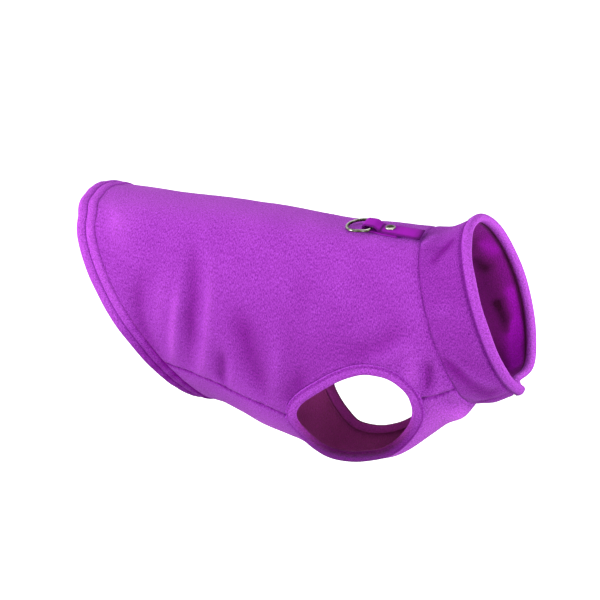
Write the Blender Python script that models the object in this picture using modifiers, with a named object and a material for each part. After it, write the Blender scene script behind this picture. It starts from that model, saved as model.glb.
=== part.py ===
"""Sleeveless fleece dog coat: a pull-on shell with a stand-up collar, rolled edges and a leash ring.

The coat keeps its worn, hollow form. +X points to the neck, +Y to the dog's left and +Z up. The origin
is on the inside of the back panel, at mid back, where the wearer's back carries the coat.
"""
import bmesh
import bpy
import numpy as np
from mathutils import Matrix

MM = 0.001                      # every size below is in millimetres

CLOTH = 2.0                     # fleece wall
GAP = 0.3                       # clearance between pieces that are sewn together

# Stretches between neighbouring points of the panels
REAR_STEPS = 20                 # tail hem to armhole
ARMHOLE_STEPS = 16              # over or under an armhole
FRONT_STEPS = 4                 # armhole to collar seam
BACK_STEPS = 32                 # round the back panel, from side seam to side seam
BELLY_STEPS = 12                # round the belly panel
COLLAR_STEPS = 6                # along the collar

# Sections round the trunk from the tail's edge (at 0) to the collar seam (at 1). Each one is an
# egg-shaped ring from its spine point to its belly point, half_width wide each side, widest at that
# part of its depth, with its flanks set back by bow. The fullness is 1 for an ellipse, less for a
# flatter top or bottom.
SECTION_COLUMNS = ("at", "spine_x", "spine_z", "belly_x", "belly_z", "half_width", "widest", "bow",
                   "top_fullness", "bottom_fullness")
TRUNK_ROWS = (
    (0.00, -154.0, 2.2, -49.5, -172.6, 63.6, 0.47, -11.5, 0.55, 0.9),
    (0.20, -84.0, 2.0, -18.0, -177.5, 62.3, 0.45, -10.0, 0.66, 0.9),
    (0.40, -20.0, 2.5, 12.0, -188.3, 61.9, 0.44, -4.0, 0.70, 0.9),
    (0.55, 28.0, 1.2, 44.0, -199.3, 60.0, 0.42, 0.0, 0.70, 0.9),
    (0.70, 73.0, -1.5, 82.0, -215.1, 56.4, 0.41, 0.0, 0.70, 0.9),
    (0.85, 115.0, -0.5, 135.0, -197.7, 53.7, 0.43, 0.0, 0.70, 0.9),
    (1.00, 150.6, -0.1, 199.5, -143.2, 53.0, 0.48, -3.0, 0.72, 0.9),
)
COLLAR_ROWS = (
    (0.0,) + TRUNK_ROWS[-1][1:],
    (0.5, 167.0, 2.6, 217.0, -140.0, 54.6, 0.47, -0.6, 0.79, 0.95),
    (1.0, 183.6, 11.6, 234.0, -129.5, 57.6, 0.46, 2.2, 0.86, 1.15),
)

# How far round from the spine (0) to the belly line (1) the seam between the two panels lies
SEAM_COLUMNS = ("at", "turn")
SEAM_ROWS = (
    (0.000, 0.648),
    (0.100, 0.672),
    (0.200, 0.691),
    (0.300, 0.704),
    (0.450, 0.728),
    (0.562, 0.742),
    (0.932, 0.696),
    (0.970, 0.722),
    (1.000, 0.732),
)

# Armhole: its two corners on the seam, and the arcs above and below them. An arc's lean moves its
# highest or lowest point towards the collar, and its fullness is 1 for half an ellipse, less if boxier.
ARMHOLE = {"rear": 0.562, "front": 0.932, "rear_turn": 0.742, "front_turn": 0.696}
UPPER_ARC = {"reach": -0.166, "lean": 0.31, "fullness": 1.0}
LOWER_ARC = {"reach": 0.148, "lean": 0.40, "fullness": 0.85}

# Soft folds: straight in the panel's own map, height in millimetres, negative for a trough
FOLD_COLUMNS = ("side", "from_at", "from_turn", "to_at", "to_turn", "half_width", "height")
FOLD_ROWS = (
    (-1, 0.140, 0.70, 0.270, 0.44, 7.0, 2.2),
    (-1, 0.268, 0.70, 0.335, 0.31, 8.0, -2.8),
    (-1, 0.282, 0.70, 0.362, 0.47, 6.0, 1.6),
    (-1, 0.328, 0.71, 0.392, 0.54, 5.5, -1.6),
    (-1, 0.395, 0.72, 0.438, 0.50, 6.0, 1.2),
    (-1, 0.460, 0.72, 0.488, 0.42, 7.0, -2.2),
    (-1, 0.517, 0.73, 0.560, 0.47, 8.0, 2.0),
    (-1, 0.800, 0.51, 0.985, 0.48, 8.0, 1.8),
    (-1, 0.960, 0.70, 0.977, 0.57, 7.0, -2.6),
    (1, 0.160, 0.69, 0.255, 0.47, 7.5, 1.8),
    (1, 0.250, 0.70, 0.290, 0.35, 8.0, -2.4),
    (1, 0.325, 0.71, 0.352, 0.50, 7.0, 1.8),
    (1, 0.395, 0.71, 0.425, 0.46, 6.5, -1.9),
    (1, 0.470, 0.73, 0.480, 0.53, 7.0, 1.5),
    (1, 0.525, 0.73, 0.540, 0.45, 7.5, -1.9),
    (1, 0.805, 0.49, 0.980, 0.45, 8.0, 1.6),
    (1, 0.962, 0.70, 0.975, 0.58, 7.0, -2.2),
)
MAP_LENGTH = 320.0              # millimetres from at 0 to at 1
MAP_GIRTH = 262.0               # millimetres from turn 0 to turn 1

# Rolled edges: width along the cloth, and how far they stand above its outer and inner faces
HEM = {"bands": 2, "band_width": 8.0, "outside": 1.3, "inside": 1.2, "valley": 0.1}
ARMHOLE_ROLL = {"width": 9.6, "outside": 1.3, "inside": 1.2, "squareness": 3.0, "points": 10}
COLLAR_ROLL = {"width": 8.6, "outside": 1.0, "inside": 2.8, "squareness": 2.5, "points": 12}
HEM_WIDTH = HEM["bands"] * HEM["band_width"] + GAP

# Leash strap: its upper layer runs from the collar seam over the bar of the D-ring to the fold, and its
# under layer back to under_end_x. The loop round the bar is slack, and closes at the stitching. The
# strap lies beside the spine, at side where it meets the bar, and leans away from there by lean per
# millimetre towards the collar.
STRAP = {"width": 14.5, "thickness": 1.6, "side": -10.5, "lean": -0.12, "fold_x": 101.5, "slack": 6.5,
         "stitching_x": 115.5, "under_end_x": 130.0}
RING = {"wire": 2.6, "inner_width": 19.6, "depth": 22.5, "corner": 4.0, "bar_x": 106.5}
BAR_CLEARANCE = 0.4
RIVET = {"cap": 9.0, "dome": 1.8, "edge": 0.5, "x": 122.0}


def column(columns, rows, name):
    return np.array([row[columns.index(name)] for row in rows], dtype=float)


def smooth_column(columns, rows, name, at):
    """Value of one column at each station, on a smooth curve through the rows."""
    stations = column(columns, rows, columns[0])
    values = column(columns, rows, name)
    steps = np.diff(stations)
    slopes = np.diff(values) / steps
    tangents = np.concatenate((slopes[:1], slopes, slopes[-1:]))
    tangents = 0.5 * (tangents[:-1] + tangents[1:])
    at = np.clip(np.asarray(at, dtype=float), stations[0], stations[-1])
    row = np.clip(np.searchsorted(stations, at, side="right") - 1, 0, len(steps) - 1)
    part = (at - stations[row]) / steps[row]
    start = values[row] * (2 * part**3 - 3 * part**2 + 1) + values[row + 1] * (3 * part**2 - 2 * part**3)
    bend = tangents[row] * (part**3 - 2 * part**2 + part) + tangents[row + 1] * (part**3 - part**2)
    return start + bend * steps[row]


def section_point(rows, at, turn):
    """Outer face of the cloth: turn runs from 0 at the spine to 1 (left) or -1 (right) at the belly."""
    at, turn = np.broadcast_arrays(np.asarray(at, dtype=float), np.asarray(turn, dtype=float))
    turn = (turn + 1) % 2 - 1
    size = {name: smooth_column(SECTION_COLUMNS, rows, name, at) for name in SECTION_COLUMNS[1:]}
    angle = np.pi * np.abs(turn)
    above = angle < np.pi / 2
    depth = np.where(above, size["widest"] * (1 - np.cos(angle)),
                     size["widest"] - (1 - size["widest"]) * np.cos(angle))
    fullness = np.where(above, size["top_fullness"], size["bottom_fullness"])
    x = size["spine_x"] + (size["belly_x"] - size["spine_x"]) * depth + size["bow"] * 4 * depth * (1 - depth)
    y = np.sign(turn) * size["half_width"] * np.abs(np.sin(angle)) ** fullness
    z = size["spine_z"] + (size["belly_z"] - size["spine_z"]) * depth
    return np.stack((x, y, z), axis=-1)


def unit(vectors):
    return vectors / np.linalg.norm(vectors, axis=-1, keepdims=True)


def section_slopes(rows, at, turn):
    """Change of the surface per unit of at and of turn."""
    small = 1e-3
    at = np.asarray(at, dtype=float)
    ahead = np.minimum(at + small, 1.0)
    behind = np.maximum(at - small, 0.0)
    along = section_point(rows, ahead, turn) - section_point(rows, behind, turn)
    across = section_point(rows, at, turn + small) - section_point(rows, at, turn - small)
    return along / (ahead - behind)[..., None], across / (2 * small)


def section_normal(rows, at, turn):
    along, across = section_slopes(rows, at, turn)
    return unit(np.cross(along, across))


def fold_height(at, turn):
    """Sum of the soft folds: a bell across each fold, fading at its two ends."""
    height = np.zeros(np.broadcast(at, turn).shape)
    for row in FOLD_ROWS:
        fold = dict(zip(FOLD_COLUMNS, row))
        start = np.array((fold["from_at"] * MAP_LENGTH, fold["from_turn"] * MAP_GIRTH))
        end = np.array((fold["to_at"] * MAP_LENGTH, fold["to_turn"] * MAP_GIRTH))
        run = end - start
        x = at * MAP_LENGTH - start[0]
        y = turn * fold["side"] * MAP_GIRTH - start[1]
        part = (x * run[0] + y * run[1]) / (run @ run)
        aside = (x * run[1] - y * run[0]) / np.sqrt(run @ run)
        fade = np.exp(-np.maximum(0.0, np.abs(part - 0.5) - 0.25) ** 2 / 0.045)
        height = height + fold["height"] * fade * np.exp(-(aside / fold["half_width"]) ** 2)
    return height


def trunk_cloth(at, turn, below=0.0):
    """Points of the trunk's cloth with its folds, at a depth below the outer face."""
    at, turn = np.broadcast_arrays(np.asarray(at, dtype=float), np.asarray(turn, dtype=float))
    lift = fold_height(at, (turn + 1) % 2 - 1) - below
    return section_point(TRUNK_ROWS, at, turn) + section_normal(TRUNK_ROWS, at, turn) * lift[..., None]


def hem_start(turn):
    """Station where the panels end and the hem's rolled bands begin, a hem's width from the edge."""
    along, across = section_slopes(TRUNK_ROWS, np.zeros_like(turn), turn)
    square = np.linalg.norm(np.cross(along, unit(across)), axis=-1)
    return HEM_WIDTH / square


def seam_turn(at):
    return smooth_column(SEAM_COLUMNS, SEAM_ROWS, "turn", at)


def arc_turn(arc, angle):
    """One arc of the armhole, from its rear corner (angle 0) to its front corner (angle pi)."""
    part = (1 - np.cos(angle)) / 2
    chord = ARMHOLE["rear_turn"] + (ARMHOLE["front_turn"] - ARMHOLE["rear_turn"]) * part
    bulge = np.abs(np.sin(angle)) ** arc["fullness"] * (1 - arc["lean"] * np.cos(angle))
    return chord + arc["reach"] * bulge


def panel_edges():
    """Stations from hem to collar, with the back panel's lower edge and the belly panel's upper edge."""
    first = float(hem_start(np.array([seam_turn(0.08)]))[0])
    rear = np.linspace(first, ARMHOLE["rear"], REAR_STEPS + 1)
    angle = np.linspace(0, np.pi, ARMHOLE_STEPS + 1)
    arc = ARMHOLE["rear"] + (ARMHOLE["front"] - ARMHOLE["rear"]) * (1 - np.cos(angle)) / 2
    front = np.linspace(ARMHOLE["front"], 1.0, FRONT_STEPS + 1)
    half_gap = 0.5 * GAP / MAP_GIRTH
    at = np.concatenate((rear[:-1], arc, front[1:]))
    upper = np.concatenate((seam_turn(rear[:-1]) - half_gap, arc_turn(UPPER_ARC, angle),
                            seam_turn(front[1:]) - half_gap))
    lower = np.concatenate((seam_turn(rear[:-1]) + half_gap, arc_turn(LOWER_ARC, angle),
                            seam_turn(front[1:]) + half_gap))
    for corner in (REAR_STEPS, REAR_STEPS + ARMHOLE_STEPS):
        upper[corner] -= half_gap
        lower[corner] += half_gap
    return at, upper, lower


def panel_stations(at, turn, seam_at_hem):
    """Stations of a panel's grid: the first lies along the hem, and the shift fades out forwards."""
    fade = np.clip((ARMHOLE["rear"] - at) / (ARMHOLE["rear"] - at[0]), 0, 1) ** 2
    shift = hem_start(turn) - hem_start(np.full_like(turn, seam_at_hem))
    return at[:, None] + shift * fade[:, None]


def back_grid():
    at, upper, _ = panel_edges()
    turn = upper[:, None] * np.linspace(-1, 1, BACK_STEPS + 1)[None, :]
    return panel_stations(at, turn, upper[0]), turn


def belly_grid():
    at, _, lower = panel_edges()
    across = np.linspace(1, -1, BELLY_STEPS + 1)[None, :]
    turn = 1 - (1 - lower[:, None]) * across
    return panel_stations(at, turn, lower[0]), turn


def rim_turns():
    """Turns of the points round a whole end of the coat, shared by the panels and what joins them."""
    _, back = back_grid()
    _, belly = belly_grid()
    seam = 0.5 * (back[:, -1] + belly[:, 0])[:, None]
    return np.concatenate((back[:, 1:-1], seam, belly[:, 1:-1], 2 - seam), axis=1)


def new_material(name, colour, roughness, metallic=0.0):
    material = bpy.data.materials.new(name)
    material.use_nodes = True
    surface = material.node_tree.nodes["Principled BSDF"]
    surface.inputs["Base Color"].default_value = (*colour, 1.0)
    surface.inputs["Roughness"].default_value = roughness
    surface.inputs["Metallic"].default_value = metallic
    return material


def new_piece(name, points, faces, material, smooth=True):
    """Closed mesh object from points in millimetres, with its faces turned outwards."""
    mesh = bpy.data.meshes.new(name)
    mesh.from_pydata((np.asarray(points) * MM).tolist(), [], faces)
    shape = bmesh.new()
    shape.from_mesh(mesh)
    bmesh.ops.recalc_face_normals(shape, faces=shape.faces)
    shape.to_mesh(mesh)
    shape.free()
    if smooth:
        mesh.shade_smooth()
        mesh.set_sharp_from_angle(angle=np.radians(50))
    mesh.materials.append(material)
    piece = bpy.data.objects.new(name, mesh)
    bpy.data.collections["dog_coat"].objects.link(piece)
    return piece


def grid_faces(rows, columns, first, rows_close=False, columns_close=False, flip=False):
    """Quads of a grid whose points are numbered row by row from `first`."""
    faces = []
    for row in range(rows if rows_close else rows - 1):
        for place in range(columns if columns_close else columns - 1):
            next_row = (row + 1) % rows
            next_place = (place + 1) % columns
            quad = [first + row * columns + place, first + next_row * columns + place,
                    first + next_row * columns + next_place, first + row * columns + next_place]
            faces.append(quad[::-1] if flip else quad)
    return faces


def cloth_wall(name, outer, inner, material, closed_round=False):
    """Wall between two matching grids of points. A grid that closes round has its columns joined."""
    rows, columns = outer.shape[:2]
    size = rows * columns
    faces = grid_faces(rows, columns, 0, columns_close=closed_round)
    faces += grid_faces(rows, columns, size, columns_close=closed_round, flip=True)
    for row in (0, rows - 1):
        for place in range(columns if closed_round else columns - 1):
            here = row * columns + place
            beside = row * columns + (place + 1) % columns
            faces.append([here, beside, size + beside, size + here])
    if not closed_round:
        for place in (0, columns - 1):
            for row in range(rows - 1):
                here = row * columns + place
                ahead = here + columns
                faces.append([here, ahead, size + ahead, size + here])
    points = np.concatenate((outer.reshape(-1, 3), inner.reshape(-1, 3)))
    return new_piece(name, points, faces, material)


def closed_ring(name, sections, material):
    """Ring through a closed row of closed profiles."""
    stations, places = sections.shape[:2]
    faces = grid_faces(stations, places, 0, rows_close=True, columns_close=True)
    return new_piece(name, sections.reshape(-1, 3), faces, material)


def edge_sections(edge, normal, outward, profile):
    """Profiles set round a closed edge: their first size runs outwards from it, their second along
    the cloth's normal."""
    tangent = unit(np.roll(edge, -1, axis=0) - np.roll(edge, 1, axis=0))
    away = unit(np.cross(tangent, normal))
    away = away * np.sign(np.sum(away * outward, axis=-1, keepdims=True))
    return (edge[:, None] + away[:, None] * profile[None, :, :1] + normal[:, None] * profile[None, :, 1:])


def roll_profile(roll):
    """Rounded bar beside a cloth edge."""
    angle = np.linspace(0, 2 * np.pi, roll["points"], endpoint=False)
    power = 2 / roll["squareness"]
    half_height = 0.5 * (roll["outside"] + CLOTH + roll["inside"])
    wide = np.sign(np.cos(angle)) * np.abs(np.cos(angle)) ** power
    high = np.sign(np.sin(angle)) * np.abs(np.sin(angle)) ** power
    return np.stack((GAP + roll["width"] * (1 + wide) / 2,
                     roll["outside"] + half_height * (high - 1)), axis=-1)


def hem_profile():
    """Two raised bands side by side with a stitched valley between them, the outer one closed round."""
    part = np.array((0.0, 0.22, 0.5, 0.78))
    swell = np.sin(np.pi * np.clip(part, 0.06, 1)) ** 0.6
    along = np.concatenate([(band + part) * HEM["band_width"] for band in range(HEM["bands"])])
    rise = np.concatenate([HEM["valley"] + HEM["outside"] * swell] * HEM["bands"])
    fall = np.concatenate([HEM["valley"] + HEM["inside"] * swell] * HEM["bands"])
    top = np.stack((GAP + along, rise), axis=-1)
    bottom = np.stack((GAP + along, -CLOTH - fall), axis=-1)
    edge = np.array(((GAP + HEM["bands"] * HEM["band_width"], -CLOTH / 2),))
    return np.concatenate((top, edge, bottom[::-1]))


def build_panels(fleece):
    for name, (at, turn) in (("back_panel", back_grid()), ("belly_panel", belly_grid())):
        cloth_wall(name, trunk_cloth(at, turn), trunk_cloth(at, turn, CLOTH), fleece)


def build_collar(fleece):
    """Collar band and its rolled rim. The band starts square to the panels, so the seam stays even."""
    turn = rim_turns()[-1]
    seam_normal = section_normal(TRUNK_ROWS, np.ones_like(turn), turn)
    along, _ = section_slopes(COLLAR_ROWS, np.zeros_like(turn), turn)
    at = np.repeat(np.linspace(0, 1, COLLAR_STEPS + 1)[:, None], len(turn), axis=1)
    at[0] = GAP / np.linalg.norm(along, axis=-1)
    turns = np.broadcast_to(turn, at.shape)
    outer = section_point(COLLAR_ROWS, at, turns)
    normal = section_normal(COLLAR_ROWS, at, turns)
    normal[0] = seam_normal
    cloth_wall("collar", outer, outer - CLOTH * normal, fleece, closed_round=True)
    forward, _ = section_slopes(COLLAR_ROWS, np.ones_like(turn), turn)
    closed_ring("collar_rim", edge_sections(outer[-1], normal[-1], forward, roll_profile(COLLAR_ROLL)), fleece)


def build_hem(fleece):
    turn = rim_turns()[0]
    at = hem_start(turn)
    along, _ = section_slopes(TRUNK_ROWS, at, turn)
    edge = trunk_cloth(at, turn)
    normal = section_normal(TRUNK_ROWS, at, turn)
    closed_ring("hem_binding", edge_sections(edge, normal, -along, hem_profile()), fleece)


def build_armhole_rolls(fleece):
    at, upper, lower = panel_edges()
    arc = slice(REAR_STEPS, REAR_STEPS + ARMHOLE_STEPS + 1)
    loop_at = np.concatenate((at[arc], at[arc][-2:0:-1]))
    corner = np.stack((ARMHOLE["rear_turn"], ARMHOLE["front_turn"]))
    loop_turn = np.concatenate((corner[:1], upper[arc][1:-1], corner[1:], lower[arc][-2:0:-1]))
    for name, side in (("armhole_binding_right", -1), ("armhole_binding_left", 1)):
        edge = trunk_cloth(loop_at, side * loop_turn)
        normal = section_normal(TRUNK_ROWS, loop_at, side * loop_turn)
        inwards = edge.mean(axis=0) - edge
        closed_ring(name, edge_sections(edge, normal, inwards, roll_profile(ARMHOLE_ROLL)), fleece)


def spine_at(x):
    """Station on the spine at this x."""
    at = np.linspace(0, 1, 401)
    return np.interp(x, section_point(TRUNK_ROWS, at, 0 * at)[:, 0], at)


def back_height(x, y):
    """Height of the back panel's outer face at a place near the spine."""
    turn = np.linspace(-0.25, 0.25, 101)
    ring = section_point(TRUNK_ROWS, spine_at(x), turn)
    return float(np.interp(y, ring[:, 1], ring[:, 2]))


def strap_side(x):
    return STRAP["side"] + STRAP["lean"] * (x - RING["bar_x"])


def bar_slope():
    """Rise of the back panel towards +Y under the strap, at the ring's bar."""
    half = STRAP["width"] / 2
    rise = back_height(RING["bar_x"], STRAP["side"] + half) - back_height(RING["bar_x"], STRAP["side"] - half)
    return rise / STRAP["width"]


def bar_height():
    """Height of the bar's middle above the back panel: it lies in the loop, over the under layer."""
    return GAP + STRAP["thickness"] + BAR_CLEARANCE + RING["wire"] / 2


def bar_centre():
    x = RING["bar_x"]
    return np.array((x, STRAP["side"], back_height(x, STRAP["side"]) + bar_height()))


def strap_path():
    """Middle line of the strap from its end under the rivet, round the fold, to the collar seam.

    Each point is x, height above the back panel, and how far it follows the panel's rounded back
    (0 at the straight loop, 1 along the back).
    """
    half = STRAP["thickness"] / 2
    radius = RING["wire"] / 2 + BAR_CLEARANCE + half
    lower = GAP + half
    upper = lower + STRAP["thickness"] + GAP
    fold = STRAP["fold_x"]
    path = [(x, lower, 1.0) for x in np.linspace(STRAP["under_end_x"], STRAP["stitching_x"], 3)]
    path += [(x, lower, 0.0) for x in np.linspace(fold + STRAP["slack"], fold, 3)]
    for angle in np.radians(np.linspace(-110, -250, 8)):
        path.append((fold + radius * np.cos(angle), bar_height() + radius * np.sin(angle), 0.0))
    crown = bar_height() + radius
    path += [(x, crown, 0.0) for x in np.linspace(fold, fold + STRAP["slack"], 3)]
    for part in (0.3, 0.7, 1.0):
        x = fold + STRAP["slack"] + (STRAP["stitching_x"] - fold - STRAP["slack"]) * part
        path.append((x, crown + (upper - crown) * (3 * part**2 - 2 * part**3), part))
    end = float(section_point(TRUNK_ROWS, 1.0, 0.0)[0]) - GAP
    path += [(x, upper, 1.0) for x in np.linspace(STRAP["stitching_x"], end, 8)[1:]]
    return path


def build_strap(webbing):
    path = strap_path()
    across = np.linspace(-0.5, 0.5, 7) * STRAP["width"]
    middle = np.zeros((len(path), len(across), 3))
    for row, (x, height, follow) in enumerate(path):
        level = back_height(x, strap_side(x))
        for place, offset in enumerate(across):
            y = strap_side(x) + offset
            straight = level + bar_slope() * offset
            rounded = back_height(x, y)
            middle[row, place] = (x, y, height + straight + follow * (rounded - straight))
    run = np.gradient(middle[:, 3], axis=0)
    normal = unit(np.stack((-run[:, 2], 0 * run[:, 0], run[:, 0]), axis=-1))[:, None]
    half = STRAP["thickness"] / 2
    return cloth_wall("leash_strap", middle + half * normal, middle - half * normal, webbing)


def ring_path():
    """Middle line of the ring's wire in its own plane: a bar along Y, two arms and a half-round bow."""
    half = (RING["inner_width"] + RING["wire"]) / 2
    straight = RING["depth"] - half
    corner = RING["corner"]
    points = [(0.0, y) for y in np.linspace(-half + corner, half - corner, 5)]
    for angle in np.radians((22.5, 45, 67.5, 90)):
        points.append((-corner * (1 - np.cos(angle)), half - corner + corner * np.sin(angle)))
    for angle in np.radians(np.linspace(0, 180, 19)):
        points.append((-straight - half * np.sin(angle), half * np.cos(angle)))
    for angle in np.radians((90, 67.5, 45, 22.5)):
        points.append((-corner * (1 - np.cos(angle)), -half + corner - corner * np.sin(angle)))
    return np.array(points)


def ring_turn(pitch):
    """Rotation of the ring that leans its bar with the back and tips its bow down."""
    return Matrix.Rotation(np.arctan(bar_slope()), 3, "X") @ Matrix.Rotation(-pitch, 3, "Y")


def ring_pitch():
    """Largest tip of the ring at which its wire still clears the back panel."""
    path = ring_path()
    for pitch in np.radians(np.arange(30.0, 0.0, -0.25)):
        turned = path @ np.array(ring_turn(pitch))[:, :2].T + bar_centre()
        if all(z - RING["wire"] / 2 - back_height(x, y) > GAP for x, y, z in turned):
            return pitch
    return 0.0


def build_ring(metal):
    """D-ring of round wire, lying back on the coat."""
    path = ring_path()
    curve = bpy.data.curves.new("d_ring", "CURVE")
    curve.dimensions = "3D"
    curve.bevel_depth = RING["wire"] / 2 * MM
    curve.bevel_resolution = 2
    spline = curve.splines.new("POLY")
    spline.points.add(len(path) - 1)
    for point, (x, y) in zip(spline.points, path):
        point.co = (x * MM, y * MM, 0.0, 1.0)
    spline.use_cyclic_u = True
    curve.materials.append(metal)
    ring = bpy.data.objects.new("d_ring", curve)
    bpy.data.collections["dog_coat"].objects.link(ring)
    ring.location = bar_centre() * MM
    ring.rotation_euler = ring_turn(ring_pitch()).to_euler()
    return ring


def build_rivet(metal):
    """Domed rivet cap, turned about its own axis and seated on the strap."""
    radius = RIVET["cap"] / 2
    angle = np.radians(np.linspace(0, 90, 7))
    profile = [(0.0, 0.0, 0.0), (radius, 0.0, 0.0)]
    profile += [(radius * np.cos(a), 0.0, RIVET["edge"] + RIVET["dome"] * np.sin(a)) for a in angle]
    mesh = bpy.data.meshes.new("rivet")
    mesh.from_pydata((np.array(profile) * MM).tolist(), [], [(n, n + 1) for n in range(len(profile) - 1)])
    mesh.materials.append(metal)
    rivet = bpy.data.objects.new("rivet", mesh)
    bpy.data.collections["dog_coat"].objects.link(rivet)
    turned = rivet.modifiers.new("turned", "SCREW")
    turned.axis = "Z"
    turned.steps = 20
    turned.render_steps = 20
    turned.use_merge_vertices = True
    turned.merge_threshold = 1e-5
    x = RIVET["x"]
    top = 2 * GAP + 2 * STRAP["thickness"]
    y = strap_side(x)
    rivet.location = np.array((x, y, back_height(x, y) + top + GAP)) * MM
    rivet.rotation_euler = (np.arctan(bar_slope()), 0.0, 0.0)
    return rivet


def main():
    for leftover in list(bpy.data.objects):
        bpy.data.objects.remove(leftover)
    bpy.context.scene.collection.children.link(bpy.data.collections.new("dog_coat"))
    fleece = new_material("fleece", (0.45, 0.06, 0.62), 0.9)
    webbing = new_material("webbing", (0.38, 0.03, 0.50), 0.7)
    nickel = new_material("antique_nickel", (0.55, 0.53, 0.46), 0.3, 1.0)
    build_panels(fleece)
    build_collar(fleece)
    build_hem(fleece)
    build_armhole_rolls(fleece)
    build_strap(webbing)
    build_ring(nickel)
    build_rivet(nickel)


main()
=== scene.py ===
import math
import bmesh
import bpy
import numpy as np
from mathutils import Matrix, Vector


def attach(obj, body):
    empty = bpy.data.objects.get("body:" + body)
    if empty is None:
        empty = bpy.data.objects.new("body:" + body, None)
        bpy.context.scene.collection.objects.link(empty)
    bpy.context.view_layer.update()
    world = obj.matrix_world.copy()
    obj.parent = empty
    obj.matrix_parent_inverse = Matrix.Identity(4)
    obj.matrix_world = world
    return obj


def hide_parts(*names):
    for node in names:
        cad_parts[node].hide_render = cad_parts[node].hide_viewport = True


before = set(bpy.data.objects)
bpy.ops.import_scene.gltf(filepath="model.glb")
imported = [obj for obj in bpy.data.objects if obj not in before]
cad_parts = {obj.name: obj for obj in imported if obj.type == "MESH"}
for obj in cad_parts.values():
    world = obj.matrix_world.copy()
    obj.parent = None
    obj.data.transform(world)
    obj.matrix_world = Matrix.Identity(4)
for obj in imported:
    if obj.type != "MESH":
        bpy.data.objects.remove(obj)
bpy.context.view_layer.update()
mm = 0.001                      # sizes below are in millimetres unless a note says otherwise

# The camera's direction and target came from a fitting program
view = {"azimuth": 21.1, "elevation": 21.0, "distance": 1.6, "width": 0.51, "target": (0.0383, 0.0, -0.0762)}


def makeCamera():
    azimuth, elevation = math.radians(view["azimuth"]), math.radians(view["elevation"])
    back = Vector((math.sin(azimuth) * math.cos(elevation), -math.cos(azimuth) * math.cos(elevation),
                   math.sin(elevation)))
    lens = bpy.data.cameras.new("camera")
    lens.clip_end = 400
    lens.angle = 2 * math.atan(view["width"] / 2 / view["distance"])
    eye = bpy.data.objects.new("camera", lens)
    eye.location = Vector(view["target"]) + back * view["distance"]
    eye.rotation_euler = back.to_track_quat("Z", "Y").to_euler()
    bpy.context.scene.collection.objects.link(eye)
    bpy.context.scene.camera = eye


makeCamera()
print("camera set")


# Shader maths: a Wire holds one socket, works with + - and *, and add() makes any other node
class Wire:
    def __init__(self, tree, socket=None):
        self.tree = tree
        self.socket = socket

    def add(self, kind, settings, links, output=0):
        node = self.tree.nodes.new(kind)
        for name, value in settings.items():
            setattr(node, name, value)
        for name, value in links.items():
            if isinstance(value, Wire):
                self.tree.links.new(value.socket, node.inputs[name])
            else:
                node.inputs[name].default_value = value
        return Wire(self.tree, node.outputs[output])

    def maths(self, operation, first, second=0.0):
        return self.add("ShaderNodeMath", {"operation": operation}, {0: first, 1: second})

    def __add__(self, other):
        return self.maths("ADD", self, other)

    def __sub__(self, other):
        return self.maths("SUBTRACT", self, other)

    def __rsub__(self, other):
        return self.maths("SUBTRACT", other, self)

    def __mul__(self, other):
        return self.maths("MULTIPLY", self, other)

    def clip(self):
        return self.add("ShaderNodeClamp", {}, {"Value": self})

    def attribute(self, name):
        return self.add("ShaderNodeAttribute", {"attribute_name": name}, {}, "Fac")

    def stretched(self, across, along):
        # the piece's own map in millimetres, divided by a grain size each way
        cloth = self.add("ShaderNodeUVMap", {"uv_map": "cloth"}, {})
        return self.add("ShaderNodeVectorMath", {"operation": "DIVIDE"}, {0: cloth, 1: (across, along, 1.0)})

    def noise(self, vector, detail=2.0, roughness=0.5, distortion=0.0):
        return self.add("ShaderNodeTexNoise", {"noise_dimensions": "3D"},
                        {"Vector": vector, "Scale": 1.0, "Detail": detail, "Roughness": roughness,
                         "Distortion": distortion}, "Fac")

    def placeNoise(self, scale, detail):
        place = self.add("ShaderNodeTexCoord", {}, {}, "Object")
        grain = {0: place, 1: (scale, scale, scale)}
        return self.noise(self.add("ShaderNodeVectorMath", {"operation": "MULTIPLY"}, grain), detail)

    def mix(self, factor, first, second):
        settings = {"data_type": "RGBA", "clamp_factor": True}
        return self.add("ShaderNodeMix", settings, {"Factor": factor, 6: first, 7: second}, 2)


def startMaterial(name, constants):
    material = bpy.data.materials.new(name)
    material.use_nodes = True
    surface = material.node_tree.nodes["Principled BSDF"]
    for socket, value in constants.items():
        surface.inputs[socket].default_value = value
    return material, surface, Wire(material.node_tree)


def plug(wire, surface, socket):
    wire.tree.links.new(wire.socket, surface.inputs[socket])


def plugBump(height, surface, strength, distance):
    settings = {"Height": height, "Strength": strength, "Distance": distance}
    plug(height.add("ShaderNodeBump", {}, settings), surface, "Normal")


# A colour that runs with the grain from a share below to a share above itself
def grained(wire, speck, colour, share):
    lower, upper = (tuple(part * (1 + way * share) for part in colour) for way in (-1, 1))
    return wire.mix(speck, (*lower, 1.0), (*upper, 1.0))


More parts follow.
